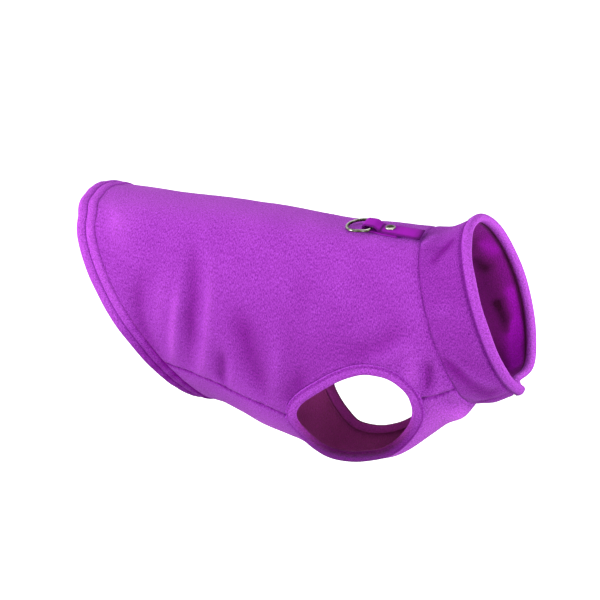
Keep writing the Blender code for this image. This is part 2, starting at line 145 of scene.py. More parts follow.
# Fleece: fine pile noise and broader tufts, each about its middle and added, run the colour from dark to
# light; an attribute paints shade over it towards a dark colour above 0 and highlight towards a light one
# below 0, and the brushed back has its own set of colours, with the same painted shade and highlight
def fleeceMaterial(name, look):
    material, surface, wire = startMaterial(name, {
        "Roughness": 0.95, "Specular IOR Level": 0.06, "Sheen Weight": look["sheen"], "Sheen Roughness": 0.45,
        "Sheen Tint": (*look["sheenTint"], 1.0)})
    pile = wire.noise(wire.stretched(*look["pile"]), 3.0, 0.6, 0.3)
    tuft = wire.noise(wire.stretched(*look["tuft"]), 2.0, 0.5)
    patch = wire.noise(wire.stretched(26.0, 34.0), 1.0)
    speck = ((pile - 0.5) * look["contrast"] + (tuft - 0.5) * look["clump"] + 0.5).clip()
    lit = wire.mix(speck, (*look["dark"], 1.0), (*look["light"], 1.0))
    # painted shade where the attribute is above 0, with a little noise, and painted highlight where it is
    # below 0
    paintedShadeMask = (wire.attribute("hollow") + (patch - 0.5) * 0.25).clip()
    paintedHighlightMask = (wire.attribute("hollow") * -1.0).clip()
    paintedHighlight = wire.mix(paintedHighlightMask, lit, grained(wire, speck, look["paintedHighlight"], 0.30))
    outside = wire.mix(paintedShadeMask, paintedHighlight, grained(wire, speck, look["hollow"], 0.45))
    mottleAndPaintedGlint = (speck * 0.6 + patch * 0.4).clip()
    backing = wire.mix(mottleAndPaintedGlint, (*look["liningDark"], 1.0), (*look["liningLight"], 1.0))
    highlightedLining = wire.mix(paintedHighlightMask, backing, grained(wire, speck, look["liningPaintedHighlight"], 0.25))
    lining = wire.mix(paintedShadeMask, highlightedLining, grained(wire, speck, look["liningPaintedShade"], 0.40))
    plug(wire.mix(wire.attribute("inside"), outside, lining), surface, "Base Color")
    plugBump(pile * 0.7 + tuft * 0.6, surface, look["bump"], 0.0015)
    return material


# Grain colours of the outside, its painted shade and painted highlight colours, then the lining's grain
# colours (partly its own, partly painted shade of the inside) and its painted highlight and shade colours
fleeceLook = {"dark": (0.20, 0.012, 0.30), "light": (0.50, 0.074, 0.70), "hollow": (0.175, 0.001, 0.24),
              "paintedHighlight": (0.62, 0.110, 0.82),
              "liningDark": (0.235, 0.040, 0.130), "liningLight": (0.46, 0.045, 0.33),
              "liningPaintedHighlight": (0.54, 0.010, 0.70), "liningPaintedShade": (0.050, 0.002, 0.032), "sheen": 0.30,
              "sheenTint": (0.90, 0.35, 1.0), "bump": 0.70, "contrast": 2.9, "clump": 0.45,
              "pile": (0.80, 1.9), "tuft": (1.7, 3.8)}
bindingLook = dict(fleeceLook, pile=(1.1, 1.4), tuft=(2.4, 3.0), sheen=0.12)
# The collar's lining colours are darker still: painted shade inside the collar
collarLook = dict(fleeceLook, liningDark=(0.115, 0.007, 0.100), liningLight=(0.27, 0.010, 0.27), sheen=0.22)


# Flat woven strap: diagonal twill and soft wear share the mix from dark to light; an attribute paints shade
# over it towards a dark colour
def webbingMaterial():
    material, surface, wire = startMaterial("webbing", {
        "Roughness": 0.8, "Specular IOR Level": 0.1, "Sheen Weight": 0.04,
        "Sheen Tint": (0.8, 0.4, 0.95, 1.0)})
    twill = wire.add("ShaderNodeTexWave", {"wave_type": "BANDS", "bands_direction": "DIAGONAL"},
                     {"Vector": wire.stretched(1.6, 1.6), "Scale": 1.0, "Distortion": 0.6,
                      "Detail": 1.0}, "Fac")
    wear = wire.noise(wire.stretched(3.0, 5.0), 3.0)
    woven = wire.mix((twill * 0.4 + wear * 0.6).clip(), (0.27, 0.003, 0.36, 1.0), (0.43, 0.009, 0.55, 1.0))
    plug(wire.mix(wire.attribute("hollow"), woven, (0.10, 0.002, 0.13, 1.0)), surface, "Base Color")
    plugBump(twill * 0.6 + wear * 0.5, surface, 0.5, 0.0005)
    return material


# Antique nickel: tarnish noise, stretched in contrast about its middle, plus a painted reflection that runs
# the colour to bright
def nickelMaterial():
    material, surface, wire = startMaterial("antiqueNickel", {"Metallic": 1.0})
    tarnish = wire.placeNoise(260.0, 3.0)
    mottleAndPaintedGlint = ((tarnish - 0.5) * 0.9 + wire.attribute("mottleAndPaintedGlint")).clip()
    plug(wire.mix(mottleAndPaintedGlint, (0.050, 0.047, 0.020, 1.0), (0.86, 0.85, 0.76, 1.0)), surface, "Base Color")
    plug(tarnish * 0.2 + 0.14, surface, "Roughness")
    plugBump(tarnish, surface, 0.15, 0.0003)
    return material


fleece = fleeceMaterial("fleece", fleeceLook)
binding = fleeceMaterial("fleeceBinding", bindingLook)
collarFleece = fleeceMaterial("fleeceCollar", collarLook)
webbing = webbingMaterial()
nickel = nickelMaterial()
print("materials made")


cloth = {"wall": 2.0, "mapLength": 320.0, "mapGirth": 262.0}

# Rings round the trunk, from the tail's edge (at 0) to the collar seam (at 1). Each row is at, spineX,
# spineZ, bellyX, bellyZ, halfWidth, widest, bow, topFullness, bottomFullness. These rows and the collar's
# began as the results of a fitting program, rounded, and some were changed
trunkRows = np.array((
    (0.00, -154.0, 2.2, -49.5, -172.6, 63.6, 0.47, -11.5, 0.55, 0.9),
    (0.20, -84.0, 2.0, -18.0, -177.5, 62.3, 0.45, -10.0, 0.66, 0.9),
    (0.40, -20.0, 2.5, 12.0, -188.3, 61.9, 0.44, -4.0, 0.70, 0.9),
    (0.55, 28.0, 1.2, 44.0, -199.3, 60.0, 0.42, 0.0, 0.70, 0.9),
    (0.70, 73.0, -1.5, 82.0, -215.1, 56.4, 0.41, 0.0, 0.70, 0.9),
    (0.85, 115.0, -0.5, 135.0, -197.7, 53.7, 0.43, 0.0, 0.70, 0.9),
    (1.00, 150.6, -0.1, 199.5, -143.2, 53.0, 0.48, -3.0, 0.72, 0.9)))
collarRows = np.array((
    (0.0,) + tuple(trunkRows[-1][1:]),
    (0.5, 167.0, 2.6, 217.0, -140.0, 54.6, 0.47, -0.6, 0.79, 0.95),
    (1.0, 183.6, 11.6, 234.0, -129.5, 57.6, 0.46, 2.2, 0.86, 1.15)))
# The side seam's turn at places along the coat, and the armhole's corners on it: smoothed results of a program
seamRows = np.array(((0.000, 0.648), (0.100, 0.672), (0.200, 0.691), (0.300, 0.704), (0.450, 0.728),
                     (0.562, 0.742), (0.932, 0.696), (0.970, 0.722), (1.000, 0.732)))
armhole = {"rear": 0.562, "front": 0.932, "rearTurn": 0.742, "frontTurn": 0.696,
           "upper": (-0.159, 0.31, 1.0), "lower": (0.148, 0.40, 0.85)}


# A smooth curve through the rows: cubic between neighbours, its slope at a row the mean of the two sides
def smoothColumn(rows, place, at):
    stations, values = rows[:, 0], rows[:, place]
    steps = np.diff(stations)
    slopes = np.diff(values) / steps
    tangents = np.concatenate((slopes[:1], slopes, slopes[-1:]))
    tangents = 0.5 * (tangents[:-1] + tangents[1:])
    at = np.clip(at, stations[0], stations[-1])
    row = np.clip(np.searchsorted(stations, at, side="right") - 1, 0, len(steps) - 1)
    part = (at - stations[row]) / steps[row]
    start = values[row] * (2 * part**3 - 3 * part**2 + 1) + values[row + 1] * (3 * part**2 - 2 * part**3)
    bend = tangents[row] * (part**3 - 2 * part**2 + part) + tangents[row + 1] * (part**3 - part**2)
    return start + bend * steps[row]


# The same turn from -1 to 1: 0 is the spine, and both ends are the belly's middle
def wrapTurn(turn):
    return (turn + 1) % 2 - 1


# 1 at its centre, and about a third one width away
def bell(place, centre, width):
    return np.exp(-((place - centre) / width) ** 2)


def mapBell(at, turn, centre, place, along, across):
    return np.exp(-((at - centre) / along) ** 2 - ((turn - place) / across) ** 2)


def circle(points):
    return np.linspace(0, 2 * np.pi, points, endpoint=False)


# A power that keeps the sign: below 1 it makes a circle squarer
def signedPower(value, power):
    return np.sign(value) * np.abs(value) ** power


# A line with its first point again at its end
def closeUp(points):
    return np.concatenate((points, points[:1]))


def runLength(points):
    return np.concatenate(([0.0], np.cumsum(np.linalg.norm(np.diff(points, axis=0), axis=1))))


# The columns of a line at other places along its run
def sampled(values, run, places):
    return np.stack([np.interp(places, run, column) for column in values.T], axis=-1)


# The map of a swept piece: run one way, girth the other
def sweptMap(run, girth):
    return np.stack(np.broadcast_arrays(run[:, None], girth[None, :]), axis=-1)


# An egg-shaped ring: its depth below the spine goes with one minus the cosine of the turn, its width with
# the sine raised to the fullness, and its flanks are set back by bow at half depth
def sectionPoint(rows, at, turn):
    at, turn = np.broadcast_arrays(np.asarray(at, float), np.asarray(turn, float))
    turn = wrapTurn(turn)
    spineX, spineZ, bellyX, bellyZ, halfWidth, widest, bow, top, bottom = (
        smoothColumn(rows, place, at) for place in range(1, 10))
    angle = np.pi * np.abs(turn)
    above = angle < np.pi / 2
    depth = np.where(above, widest * (1 - np.cos(angle)), widest - (1 - widest) * np.cos(angle))
    x = spineX + (bellyX - spineX) * depth + bow * 4 * depth * (1 - depth)
    y = np.sign(turn) * halfWidth * np.abs(np.sin(angle)) ** np.where(above, top, bottom)
    z = spineZ + (bellyZ - spineZ) * depth
    return np.stack((x, y, z), axis=-1)


def unit(vectors):
    return vectors / np.maximum(np.linalg.norm(vectors, axis=-1, keepdims=True), 1e-9)


# Slopes of the ring surface along the coat and round it, from points a small step apart
def sectionSlopes(rows, at, turn):
    small = 1e-3
    ahead, behind = np.minimum(at + small, 1.0), np.maximum(at - small, 0.0)
    along = (sectionPoint(rows, ahead, turn) - sectionPoint(rows, behind, turn)) / (ahead - behind)[..., None]
    across = (sectionPoint(rows, at, turn + small) - sectionPoint(rows, at, turn - small)) / (2 * small)
    return along, across


def sectionNormal(rows, at, turn):
    return unit(np.cross(*sectionSlopes(rows, at, turn)))


def seamTurn(at):
    return smoothColumn(seamRows, 1, at)


# Soft unevenness: eight sine waves of about this length, in directions and phases drawn from the seed
def unevenness(x, y, length, seed):
    draw = np.random.default_rng(seed)
    total = 0.0
    for wave in range(8):
        heading, phase = draw.uniform(0, 2 * np.pi, 2)
        size = 2 * np.pi / (length * draw.uniform(0.7, 1.5))
        total = total + np.sin((x * np.cos(heading) + y * np.sin(heading)) * size + phase)
    return total / 8


def unevenLine(run, length, seed):
    return unevenness(run, 0 * run, length, seed)


# Folds of the trunk, in its map: side, fromAt, fromTurn, toAt, toTurn, halfWidth, height, bow. The places and
# most bows of the first 17 rows came from a program, and three places were then moved a little; the other
# numbers were chosen
foldRows = (
    (-1, 0.297, 0.377, 0.127, 0.680, 4.4, 3.2, 7.8),
    (-1, 0.333, 0.223, 0.213, 0.663, 7.0, -3.2, 15.0),
    (-1, 0.383, 0.273, 0.180, 0.727, 5.5, 2.4, 24.0),
    (-1, 0.400, 0.570, 0.330, 0.705, 6.0, -3.4, 0.1),
    (-1, 0.420, 0.573, 0.357, 0.707, 4.0, 1.5, 2.0),
    (-1, 0.455, 0.410, 0.500, 0.735, 9.5, -2.6, 2.0),
    (-1, 0.570, 0.473, 0.523, 0.690, 6.0, 2.0, 4.3),
    (-1, 0.660, 0.567, 0.570, 0.710, 7.0, -2.6, -0.4),
    (-1, 0.197, 0.367, 0.100, 0.653, 7.0, -2.4, -7.2),
    (-1, 0.253, 0.350, 0.147, 0.573, 6.0, 1.2, 4.4),
    (-1, 0.787, 0.547, 0.963, 0.503, 5.0, 1.8, -1.6),
    (-1, 0.770, 0.523, 0.943, 0.453, 8.0, -2.0, -3.2),
    (-1, 0.973, 0.573, 0.947, 0.697, 4.2, -4.2, 0.9),
    (-1, 0.950, 0.513, 0.930, 0.637, 6.0, 1.2, 1.0),
    (-1, 0.080, 0.050, 0.115, 0.250, 5.0, 1.3, 2.0),
    (-1, 0.757, 0.190, 0.763, 0.423, 8.0, 0.6, 0.9),
    (-1, 0.647, 0.270, 0.647, 0.443, 8.0, -0.6, 0.0),
    (-1, 0.973, 0.727, 0.977, 0.850, 4.5, -2.2, 0.5),
    (-1, 0.995, 0.727, 0.993, 0.867, 4.0, 1.4, 0.5),
    (1, 0.280, 0.390, 0.140, 0.690, 5.5, 2.2, 6.0),
    (1, 0.320, 0.250, 0.225, 0.660, 7.5, -2.9, 12.0),
    (1, 0.372, 0.300, 0.270, 0.720, 6.0, 2.1, 10.0),
    (1, 0.430, 0.480, 0.360, 0.700, 5.5, -2.1, 3.0),
    (1, 0.480, 0.430, 0.465, 0.720, 7.0, 1.8, 2.0),
    (1, 0.545, 0.450, 0.520, 0.720, 7.0, -2.3, 2.0),
    (1, 0.655, 0.560, 0.575, 0.700, 7.0, -2.1, -1.0),
    (1, 0.190, 0.380, 0.105, 0.650, 7.0, -2.0, -5.0),
    (1, 0.790, 0.540, 0.960, 0.490, 5.5, 1.7, -2.0),
    (1, 0.780, 0.510, 0.930, 0.440, 8.0, -1.7, -2.0),
    (1, 0.970, 0.580, 0.950, 0.690, 5.0, -2.5, 1.0),
    (1, 0.975, 0.740, 0.978, 0.860, 5.0, -1.8, 0.5),
    (1, 0.700, 0.200, 0.710, 0.430, 9.0, -0.7, 1.0))


# Broad swellings of the belly, on both sides alike: at, turn, spread along, spread round, height
bulgeRows = ((0.44, 1.0, 0.130, 0.25, 3.0), (0.84, 1.0, 0.050, 0.20, 3.2), (0.970, 0.94, 0.018, 0.12, 4.0))
foldShape = {"ridge": 0.72, "hollow": 0.85, "widening": 1.2, "fullPart": 0.15, "fadePart": 0.075}


# A fold is a bell across a line that bows sideways, and it fades over its two ends; swellings are plain bells
def foldHeight(at, turn):
    height = np.zeros(at.shape)
    for side, fromAt, fromTurn, toAt, toTurn, halfWidth, rise, bow in foldRows:
        run = np.array(((toAt - fromAt) * cloth["mapLength"], (toTurn - fromTurn) * cloth["mapGirth"]))
        x = (at - fromAt) * cloth["mapLength"]
        y = (turn * side - fromTurn) * cloth["mapGirth"]
        part = (x * run[0] + y * run[1]) / (run @ run)
        aside = (x * run[1] - y * run[0]) / np.sqrt(run @ run) - bow * 4 * part * (1 - part)
        beyond = np.maximum(0.0, np.abs(part - 0.5) - foldShape["fullPart"])
        fade = np.exp(-beyond ** 2 / foldShape["fadePart"])
        soft = foldShape["ridge"] if rise > 0 else foldShape["hollow"]
        height = height + soft * rise * fade * bell(aside, 0, foldShape["widening"] * halfWidth)
    for centre, place, along, across, rise in bulgeRows:
        height = height + rise * mapBell(at, np.abs(turn), centre, place, along, across)
    return height


# Positions from 0 to 1 that lie closer together at either end where its pull is above 0
def spread(steps, pull):
    even = np.linspace(0, 1, steps + 1)
    return even - pull * np.sin(2 * np.pi * even) / (2 * np.pi)


panel = {"rear": 92, "arc": 74, "front": 14, "back": 196, "belly": 92, "pull": 0.45, "overlap": 0.15,
         "valley": 1.35, "valleyWidth": 1.5, "hemWidth": 16.3, "collarValley": 0.9, "collarValleyWidth": 1.5,
         "collarStep": 0.3, "collarStepWidth": 4.2, "hemValley": 0.7, "hemValleyWidth": 1.4,
         "innerDepth": 0.8, "farFromSeam": 50.0}


def hemStart(turn):
    along, across = sectionSlopes(trunkRows, np.zeros_like(turn), turn)
    return panel["hemWidth"] / np.linalg.norm(np.cross(along, unit(across)), axis=-1)


# One arc of the armhole: half an ellipse on the chord between its corners, leaning to the collar
def arcTurn(arc, angle):
    reach, lean, fullness = arc
    part = (1 - np.cos(angle)) / 2
    chord = armhole["rearTurn"] + (armhole["frontTurn"] - armhole["rearTurn"]) * part
    return chord + reach * np.abs(np.sin(angle)) ** fullness * (1 - lean * np.cos(angle))


def panelEdges():
    first = float(hemStart(np.array([seamTurn(0.08)]))[0])
    rear = first + (armhole["rear"] - first) * spread(panel["rear"], 0.0)
    angle = np.linspace(0, np.pi, panel["arc"] + 1)
    arc = armhole["rear"] + (armhole["front"] - armhole["rear"]) * (1 - np.cos(angle)) / 2
    front = armhole["front"] + (1 - armhole["front"]) * spread(panel["front"], 0.3)
    at = np.concatenate((rear[:-1], arc, front[1:]))
    upper = np.concatenate((seamTurn(rear[:-1]), arcTurn(armhole["upper"], angle), seamTurn(front[1:])))
    lower = np.concatenate((seamTurn(rear[:-1]), arcTurn(armhole["lower"], angle), seamTurn(front[1:])))
    half = 0.5 * panel["overlap"] / cloth["mapGirth"]
    return at, upper + half, lower - half


# The tail's corner stands up squarely at the spine and its flanks lie in: turn, spread round, x, z
tailRows = ((0.0, 0.022, -0.6, 2.4), (0.145, 0.060, 2.8, 0.0))
tailFade = 0.16


# The sum of bells round the turn, each fading away from the edge
def tailShift(at, turn):
    aside = np.abs(wrapTurn(turn))
    shift = np.zeros(np.broadcast_shapes(at.shape, turn.shape) + (3,))
    for centre, wide, x, z in tailRows:
        share = mapBell(at, aside, 0, centre, tailFade, wide)
        shift = shift + share[..., None] * np.array((x, 0.0, z))
    return shift


# Stations of a panel's grid: its first row lies along the hem, and the shift fades out forwards
def panelStations(at, turn, seamAtHem):
    fade = np.clip((armhole["rear"] - at) / (armhole["rear"] - at[0]), 0, 1) ** 2
    shift = hemStart(turn) - hemStart(np.full_like(turn, seamAtHem))
    return at[:, None] + shift * fade[:, None]


edgeAt, upperEdge, lowerEdge = panelEdges()
backAcross = 2 * spread(panel["back"], panel["pull"]) - 1
bellyAcross = 1 - 2 * spread(panel["belly"], panel["pull"])
backTurn = upperEdge[:, None] * backAcross[None, :]
bellyTurn = 1 - (1 - lowerEdge[:, None]) * bellyAcross[None, :]
backAt = panelStations(edgeAt, backTurn[0], upperEdge[0])
bellyAt = panelStations(edgeAt, bellyTurn[0], lowerEdge[0])


# Painted highlight (below 0) and painted shade (above 0) over the trunk: at, turn, spread along, spread
# round, amount, on both sides alike
paintedLightRows = np.array(((0.125, 0.165, 0.045, 0.12, -0.24), (0.03, 0.05, 0.05, 0.22, -0.15),
                    (0.50, 0.05, 0.60, 0.10, -0.12), (0.97, 0.80, 0.05, 0.09, -0.30),
                    (0.93, 0.86, 0.06, 0.11, -0.55), (0.93, 0.62, 0.04, 0.07, -0.22),
                    (0.70, 0.54, 0.30, 0.12, 0.28), (0.45, 0.60, 0.20, 0.10, 0.08),
                    (0.78, 0.36, 0.13, 0.13, 0.10), (0.04, 0.62, 0.10, 0.10, 0.22),
                    (0.55, 0.66, 0.05, 0.07, 0.25)))


# The sum of bells over the map, each in both ways of it
def paintedLightTone(at, turn):
    aside = np.abs(wrapTurn(turn))
    tone = np.zeros(np.broadcast_shapes(at.shape, turn.shape))
    for centre, place, along, across, amount in paintedLightRows:
        tone = tone + amount * mapBell(at, aside, centre, place, along, across)
    return tone


# Height of the trunk's cloth above the smooth rings: folds, soft unevenness and puckers beside the seams
def trunkLift(at, turn, seamDistance):
    x, y = at * cloth["mapLength"], turn * cloth["mapGirth"]
    lift = foldHeight(at, wrapTurn(turn))
    lift = lift + 0.45 * unevenness(x, y, 42.0, 3) + 0.16 * unevenness(x, y, 15.0, 8)
    pucker = np.sin(x * 0.62 + 1.7 * np.sin(x * 0.11)) + 0.6 * np.sin(x * 0.93 + 2.0 + np.sin(x * 0.07))
    return lift + 0.22 * pucker * np.exp(-seamDistance / 5.0)


# The same height far from any seam, where the puckers have all but faded
def plainLift(at, turn):
    return trunkLift(at, turn, np.full(turn.shape, panel["farFromSeam"]))


def gridFaces(rows, columns, first, closedRows=False, closedColumns=False):
    row = np.arange(rows if closedRows else rows - 1)[:, None]
    place = np.arange(columns if closedColumns else columns - 1)[None, :]
    nextRow, nextPlace = (row + 1) % rows, (place + 1) % columns
    corners = (row * columns + place, nextRow * columns + place, nextRow * columns + nextPlace,
               row * columns + nextPlace)
    return first + np.stack(np.broadcast_arrays(*corners), axis=-1).reshape(-1, 4)


# Mesh object from points and quads, with its map in millimetres and its shading attributes
def makePiece(name, nodes, body, points, faces, clothMap, material, attributes=None, period=None,
              caps=()):
    mesh = bpy.data.meshes.new(name)
    points = np.asarray(points, float).reshape(-1, 3)
    faces = np.asarray(faces)
    mesh.from_pydata(points * mm, [], faces.tolist() + [list(cap) for cap in caps])
    shape = bmesh.new()
    shape.from_mesh(mesh)
    bmesh.ops.recalc_face_normals(shape, faces=shape.faces)
    shape.to_mesh(mesh)
    shape.free()
    corner = np.empty(len(mesh.loops), dtype=np.int32)
    mesh.loops.foreach_get("vertex_index", corner)
    flat = np.asarray(clothMap, float).reshape(-1, 2)[corner]
    if period:
        quads = flat[:4 * len(faces)].reshape(-1, 4, 2)
        for axis, length in enumerate(period):
            if length:
                wide = quads[..., axis].max(axis=1, keepdims=True) - quads[..., axis] > length / 2
                quads[..., axis] += np.where(wide, length, 0.0)
    layer = mesh.uv_layers.new(name="cloth")
    layer.data.foreach_set("uv", flat.astype(np.float32).ravel())
    for label, values in (attributes or {}).items():
        store = mesh.attributes.new(label, "FLOAT", "POINT")
        store.data.foreach_set("value", np.asarray(values, np.float32).ravel())
    mesh.shade_smooth()
    mesh.materials.append(material)
    piece = bpy.data.objects.new(name, mesh)
    bpy.context.scene.collection.objects.link(piece)
    if nodes:
        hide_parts(*nodes)
    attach(piece, body)
    return piece


# Closed wall between an outer and an inner grid of points
def makeWall(name, node, outer, inner, clothMap, material, hollow, innerPaintedShade, closedRound=False,
             period=None):
    rows, columns = outer.shape[:2]
    size = rows * columns
    faces = [gridFaces(rows, columns, 0, closedColumns=closedRound),
             gridFaces(rows, columns, size, closedColumns=closedRound)[:, ::-1]]
    for row in (0, rows - 1):
        here = row * columns + np.arange(columns if closedRound else columns - 1)
        beside = row * columns + (np.arange(len(here)) + 1) % columns
        faces.append(np.stack((here, beside, size + beside, size + here), axis=-1))
    if not closedRound:
        for place in (0, columns - 1):
            here = np.arange(rows - 1) * columns + place
            faces.append(np.stack((here, here + columns, size + here + columns, size + here), axis=-1))
    points = np.concatenate((outer.reshape(-1, 3), inner.reshape(-1, 3)))
    inside = np.concatenate((np.zeros(size), np.ones(size)))
    maps = np.concatenate((clothMap.reshape(-1, 2),) * 2)
    shades = {"hollow": np.concatenate((hollow.ravel(), innerPaintedShade.ravel())), "inside": inside}
    return makePiece(name, (node,), "coat", points, np.concatenate(faces), maps, material, shades,
                     period)


# A panel: the trunk's rings lifted by their folds, its edges turned down into the seams
def makePanel(name, node, at, turn, edgeTurn, tone):
    along, across = sectionSlopes(trunkRows, at, turn)
    normal = unit(np.cross(along, across))
    girth = np.linalg.norm(across, axis=-1)
    length = np.linalg.norm(np.cross(along, unit(across)), axis=-1)
    toSeam = np.abs(edgeTurn) * girth
    toCollar = (1.0 - at) * length
    toHem = (at - at[0]) * length
    lift = trunkLift(at, turn, toSeam)
    valley = panel["valley"] * bell(toSeam, 0, panel["valleyWidth"])
    foot = panel["collarValley"] * bell(toCollar, 0, panel["collarValleyWidth"])
    valley = np.maximum(valley, foot + panel["collarStep"] * (toCollar < panel["collarStepWidth"]))
    valley = np.maximum(valley, panel["hemValley"] * bell(toHem, 0, panel["hemValleyWidth"]))
    base = sectionPoint(trunkRows, at, turn) + tailShift(at, turn)
    outer = base + normal * (lift - valley)[..., None]
    inner = base + normal * (lift - cloth["wall"] - panel["innerDepth"] * valley)[..., None]
    girthRun = np.cumsum(np.linalg.norm(np.diff(base, axis=1, prepend=base[:, :1]), axis=-1), axis=1)
    middle = girthRun.shape[1] // 2
    clothMap = np.stack((at * cloth["mapLength"], girthRun - girthRun[:, middle:middle + 1]), axis=-1)
    # Painted shade and light of the outside: dark marks along the seams, darker seam valleys and sunk folds,
    # lighter raised folds, the painted light rows, and the panel's tone
    tick = np.clip(np.sin(clothMap[..., 0] * 1.9 + 2.2 * np.sin(clothMap[..., 0] * 0.13)), 0, 1)
    seamShade = (0.22 + 0.45 * tick) * bell(toSeam, 0.8, 1.5)
    hollow = np.clip(tone + paintedLightTone(at, turn) - 0.21 * lift + 0.30 * valley + seamShade, -1, 1)
    # Painted shade and light of the lining: darker behind raised folds, in valleys and near the seams, and a
    # painted highlight inside near the armhole
    lining = 0.10 * lift + 0.25 * valley + 0.22 * bell(toSeam, 1.0, 4.0)
    lining = lining - 0.45 * mapBell(at, np.abs(wrapTurn(turn)), 0.545, 0.70, 0.03, 0.10)
    return makeWall(name, node, outer, inner, clothMap, fleece, hollow, np.clip(lining, -1, 1))


# The belly panel's tone paints a slight shade over all of it
backPanel = makePanel("back_fleece", "back_panel", backAt, backTurn,
                      upperEdge[:, None] * (1 - np.abs(backAcross))[None, :], 0.0)
bellyPanel = makePanel("belly_fleece", "belly_panel", bellyAt, bellyTurn,
                       (1 - lowerEdge[:, None]) * (1 - np.abs(bellyAcross))[None, :], 0.06)
print("panels made")


# Turns of the points round a whole end of the coat, from one side seam round the back and the belly
def endTurns(row):
    return np.concatenate((backTurn[row, 1:-1], [0.5 * (backTurn[row, -1] + bellyTurn[row, 0])],
                           bellyTurn[row, 1:-1], [0.5 * (2 + backTurn[row, 0] + bellyTurn[row, -1])]))


# Profiles set round a closed edge: their first size runs away from it, their second along the normal, and
# the edge's direction is taken between the points this many steps before and after
def edgeSections(edge, normal, outward, profile, reach=1):
    tangent = unit(np.roll(edge, -reach, axis=0) - np.roll(edge, reach, axis=0))
    away = unit(np.cross(tangent, normal))
    away = away * np.sign(np.sum(away * outward, axis=-1, keepdims=True))
    return edge[:, None] + away[:, None] * profile[..., :1] + normal[:, None] * profile[..., 1:]


# A ring swept round a closed edge, with the girth of its profile as the other way of its map
def makeRing(name, node, sections, profileRun, hollow, inside):
    stations, places = sections.shape[:2]
    run = runLength(closeUp(sections[:, 0]))
    clothMap = sweptMap(run[:-1], profileRun)
    faces = gridFaces(stations, places, 0, True, True)
    girth = profileRun[-1] + (profileRun[-1] - profileRun[-2])
    shades = {"hollow": np.broadcast_to(hollow, (stations, places)),
              "inside": np.broadcast_to(inside, (stations, places))}
    return makePiece(name, (node,), "coat", sections, faces, clothMap, binding, shades,
                     (run[-1], girth))


# A rolled edge: a rounded bar from its seam outwards, with a stitched groove on its outer face
def rollProfile(roll, swell, cover=0.0):
    angle = circle(roll["points"])
    power = 2 / roll["squareness"]
    halfHeight = 0.5 * (roll["outside"] + cloth["wall"] + roll["inside"])
    wide = signedPower(np.cos(angle), power)
    high = signedPower(np.sin(angle), power)
    cover = np.broadcast_to(cover, swell.shape)[:, None] * np.clip(1.6 * high, 0, 1)[None, :]
    width = (roll["width"] + cover) * (1 + 0.06 * swell[:, None])
    away = roll["start"] - cover + width * (1 + wide[None, :]) / 2
    rise = roll["outside"] + halfHeight * (high - 1)
    groove = roll["depth"] * bell(away, roll["groove"], 0.7) * (high > 0)
    rise = rise * (1 + 0.10 * swell[:, None]) - groove
    return np.stack((away, rise), axis=-1), groove


collarRoll = {"width": 9.2, "outside": 1.9, "inside": 3.0, "squareness": 2.05, "points": 40, "start": -0.3,
              "groove": 0.9, "depth": 0.5}
armRoll = {"width": 10.0, "outside": 1.6, "inside": 1.2, "squareness": 2.3, "points": 36, "start": -1.2,
           "groove": 0.2, "depth": 0.3, "cover": 11.0, "coverPlace": 0.81, "coverSpread": 0.155,
           "shadePlace": 0.76, "shadeSpread": 0.20, "loopLength": 290}
collar = {"steps": 30, "valley": 0.9, "valleyWidth": 1.5, "rimValley": 1.1, "rimValleyWidth": 2.2,
          "footReach": 0.35}


# Where the mouth is pinched at the throat: its far end tucks back and up, its near end stands forward
mouth = {"tuck": (-8.0, 0.2, 3.4), "tuckTurn": 0.948, "tuckBefore": 0.08, "tuckAfter": 0.048,
         "tip": (-4.2, -1.6, -2.8), "tipTurn": -0.985, "tipSpread": 0.06, "rise": 2.8, "riseSpread": 0.16,
         "lean": 2.0, "leanTurn": 0.55, "leanSpread": 0.28}
# Creases of the collar, as painted shade (above 0) and painted highlight (below 0): fromAt, fromTurn, toAt,
# toTurn, halfWidth, amount. The first set is on the lining; the second on the outside also sinks and
# raises the cloth
liningRows = np.array(((0.55, 0.553, 0.64, 0.652, 4.0, 0.95), (0.45, 0.370, 0.55, 0.410, 5.5, 0.75),
                       (0.50, 0.410, 0.55, 0.550, 7.0, 0.35), (0.72, 0.300, 0.85, 0.350, 6.0, -0.45),
                       (0.74, 0.655, 0.76, 0.800, 6.5, -1.15), (0.85, 0.530, 0.87, 0.700, 4.5, -0.60),
                       (0.35, 0.150, 0.45, 0.300, 7.0, 0.40), (0.55, 0.840, 0.70, 0.880, 6.0, -0.25)))
collarFolds = np.array(((0.20, -0.610, 0.62, -0.790, 8.0, 0.42), (0.30, -0.590, 0.80, -0.750, 4.0, -0.30),
                        (0.36, -0.205, 0.74, -0.120, 4.5, 0.35), (0.02, -0.11, 0.22, -0.05, 5.0, -0.45),
                        (0.05, -0.900, 0.50, -0.840, 5.0, 0.35), (0.10, -0.780, 0.45, -0.830, 4.0, -0.25),
                        (0.20, 0.620, 0.66, 0.780, 5.0, 0.45), (0.30, 0.210, 0.70, 0.120, 5.5, 0.30)))
# Pinches of the collar: turn, at, spread round, spread along, height
pinchRows = ((-0.15, 0.55, 0.030, 0.35, -0.9), (-0.42, 0.35, 0.03, 0.4, 0.7), (-0.86, 0.55, 0.02, 0.45, -1.6),
             (-0.93, 0.5, 0.026, 0.4, 0.9), (0.88, 0.5, 0.022, 0.45, -1.4), (0.2, 0.5, 0.035, 0.4, -1.0),
             (0.5, 0.5, 0.05, 0.4, -0.8), (-0.63, 0.4, 0.05, 0.4, -0.7))


